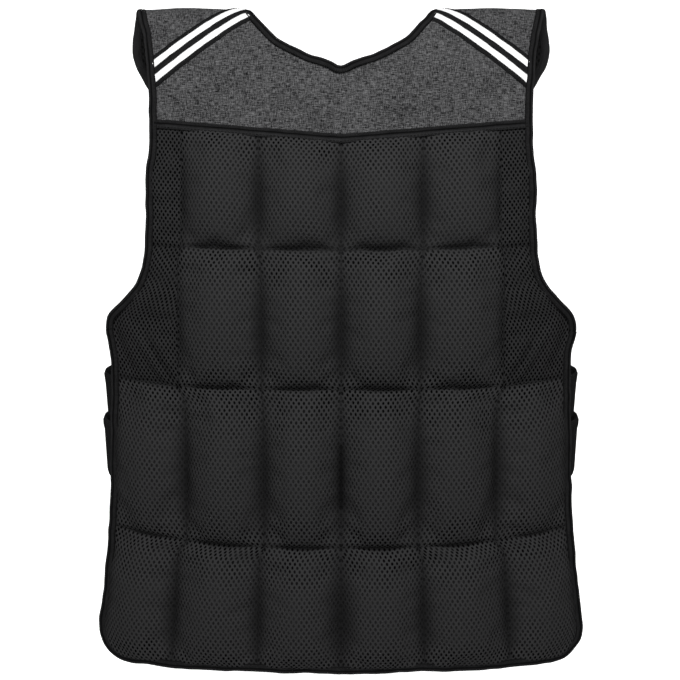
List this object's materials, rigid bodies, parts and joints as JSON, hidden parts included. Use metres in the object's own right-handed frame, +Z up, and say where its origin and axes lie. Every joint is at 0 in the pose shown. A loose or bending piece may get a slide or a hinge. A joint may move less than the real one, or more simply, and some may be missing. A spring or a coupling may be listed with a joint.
{
  "type": "weighted vest",
  "caption": "Padded weighted vest with a quilted black mesh body, a heather grey shoulder yoke with white stripes, taped edges and elastic side straps",
  "frame": {"origin": "midway between the shoulders, on the line along which the yoke rests on them", "axes": "+Z up, the wearer's back (the pictured side) towards -Y, the wearer's right towards +X"},
  "size_m": [0.469, 0.2466, 0.6256],
  "materials": {
    "spacer_mesh": "black knitted spacer mesh with small oval holes, matt",
    "yoke_cloth": "heather grey plain weave with dark slubs, matt",
    "binding_tape": "black ribbed polyester tape with one row of stitches, faint sheen",
    "reflective_tape": "white reflective tape, smooth",
    "elastic_webbing": "black ribbed elastic webbing"
  },
  "bodies": {
    "root": {"yoke": "yoke_cloth", "back_pocket_1_2": "spacer_mesh", "back_pocket_1_3": "spacer_mesh", "back_pocket_1_1": "spacer_mesh", "back_pocket_1_4": "spacer_mesh", "back_pocket_2_2": "spacer_mesh", "back_pocket_2_3": "spacer_mesh", "back_pocket_2_1": "spacer_mesh", "back_pocket_2_4": "spacer_mesh", "back_pocket_3_3": "spacer_mesh", "back_pocket_3_4": "spacer_mesh", "back_pocket_3_2": "spacer_mesh", "back_pocket_3_5": "spacer_mesh", "back_pocket_3_1": "spacer_mesh", "back_pocket_3_6": "spacer_mesh", "back_pocket_4_3": "spacer_mesh", "back_pocket_4_4": "spacer_mesh", "back_pocket_4_2": "spacer_mesh", "back_pocket_4_5": "spacer_mesh", "back_pocket_4_1": "spacer_mesh", "back_pocket_4_6": "spacer_mesh", "front_pocket_1_2": "spacer_mesh", "front_pocket_1_3": "spacer_mesh", "front_pocket_1_1": "spacer_mesh", "front_pocket_1_4": "spacer_mesh", "front_pocket_2_2": "spacer_mesh", "front_pocket_2_3": "spacer_mesh", "front_pocket_2_1": "spacer_mesh", "front_pocket_2_4": "spacer_mesh", "front_pocket_3_2": "spacer_mesh", "front_pocket_3_3": "spacer_mesh", "front_pocket_3_1": "spacer_mesh", "front_pocket_3_4": "spacer_mesh", "front_pocket_4_2": "spacer_mesh", "front_pocket_4_3": "spacer_mesh", "front_pocket_4_1": "spacer_mesh", "front_pocket_4_4": "spacer_mesh", "back_strip_left": "spacer_mesh", "back_wing_left": "spacer_mesh", "stripe_band_left": "binding_tape", "reflective_tape_left_1": "reflective_tape", "reflective_tape_left_2": "reflective_tape", "side_strap_upper_left": "elastic_webbing", "side_strap_lower_left": "elastic_webbing", "back_strip_right": "spacer_mesh", "back_wing_right": "spacer_mesh", "stripe_band_right": "binding_tape", "reflective_tape_right_1": "reflective_tape", "reflective_tape_right_2": "reflective_tape", "side_strap_upper_right": "elastic_webbing", "side_strap_lower_right": "elastic_webbing", "neck_binding": "binding_tape", "yoke_seam_binding_back": "binding_tape", "yoke_seam_binding_front": "binding_tape", "armhole_binding_right": "binding_tape", "hem_binding_back": "binding_tape", "armhole_binding_left": "binding_tape", "hem_binding_front": "binding_tape"}
  },
  "joints": []
}
